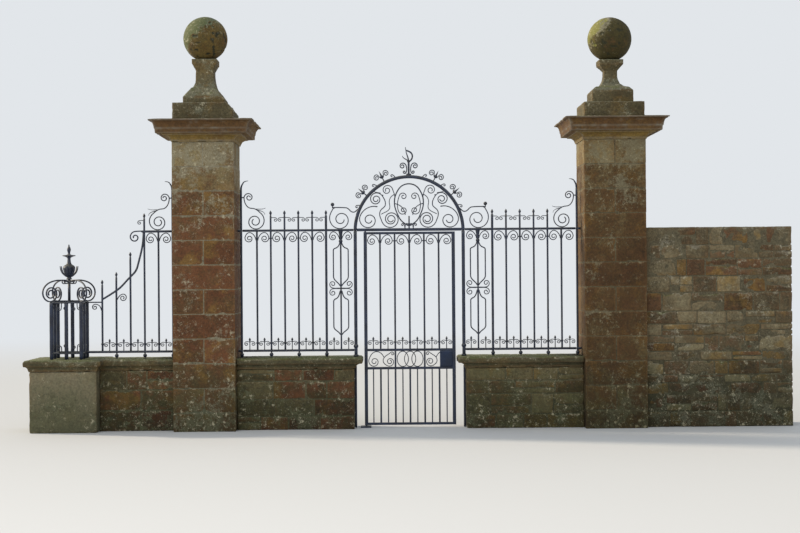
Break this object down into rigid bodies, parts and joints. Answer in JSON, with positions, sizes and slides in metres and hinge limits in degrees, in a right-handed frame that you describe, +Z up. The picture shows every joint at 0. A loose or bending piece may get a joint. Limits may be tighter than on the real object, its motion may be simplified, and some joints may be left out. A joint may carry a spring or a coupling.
{
  "type": "wrought iron garden gateway with stone piers",
  "caption": "Wrought iron gateway: pivot-hung leaf under a scrolled arch, side screens on dwarf walls, stone piers with ball finials, a ramped wing railing and a stretch of boundary wall.",
  "frame": {"origin": "on the ground, in the middle of the gateway and in the plane of the ironwork", "axes": "+X along the wall to the right as seen from the front, +Y into the garden, +Z up"},
  "size_m": [8.04, 1.08, 4.377],
  "materials": {
    "pier_stone": "matte",
    "carved_stone": "matte",
    "rubble_stone": "matte",
    "wrought_iron": "satin",
    "lock_iron": "satin"
  },
  "bodies": {
    "root": {"left_pier_shaft": "pier_stone", "left_pier_cap": "carved_stone", "left_finial_pedestal": "carved_stone", "left_finial_ball": "carved_stone", "right_pier_shaft": "pier_stone", "right_pier_cap": "carved_stone", "right_finial_pedestal": "carved_stone", "right_finial_ball": "carved_stone", "left_dwarf_wall": "rubble_stone", "left_coping": "carved_stone", "right_dwarf_wall": "rubble_stone", "right_coping": "carved_stone", "wing_wall": "rubble_stone", "wing_coping": "carved_stone", "standard_base": "rubble_stone", "standard_base_cap": "carved_stone", "boundary_wall": "rubble_stone", "left_gate_post": "wrought_iron", "right_gate_post": "wrought_iron", "arch_bar": "wrought_iron", "transom": "wrought_iron", "overthrow_scrolls": "wrought_iron", "arch_finial": "wrought_iron", "left_crockets": "wrought_iron", "right_crockets": "wrought_iron", "lock_keep": "lock_iron", "footstep_plate": "lock_iron", "left_pilaster": "wrought_iron", "right_pilaster": "wrought_iron", "left_screen": "wrought_iron", "right_screen": "wrought_iron", "left_pier_bracket": "wrought_iron", "right_pier_bracket": "wrought_iron", "wing_railing": "wrought_iron", "wing_bracket": "wrought_iron", "standard_cage": "wrought_iron", "standard_dome": "wrought_iron", "standard_finial": "wrought_iron"},
    "leaf": {"hinge_stile": "wrought_iron", "lock_stile": "wrought_iron", "leaf_rails": "wrought_iron", "leaf_upper_panel": "wrought_iron", "leaf_lock_band": "wrought_iron", "leaf_lower_panel": "wrought_iron", "lock_case": "lock_iron"}
  },
  "joints": [
    {"name": "gate_swing", "type": "hinge", "parent": "root", "child": "leaf", "pos_m": [-0.4675, 0, 0.025], "axis": [0, 0, 1], "range_deg": [0, 90]}
  ]
}
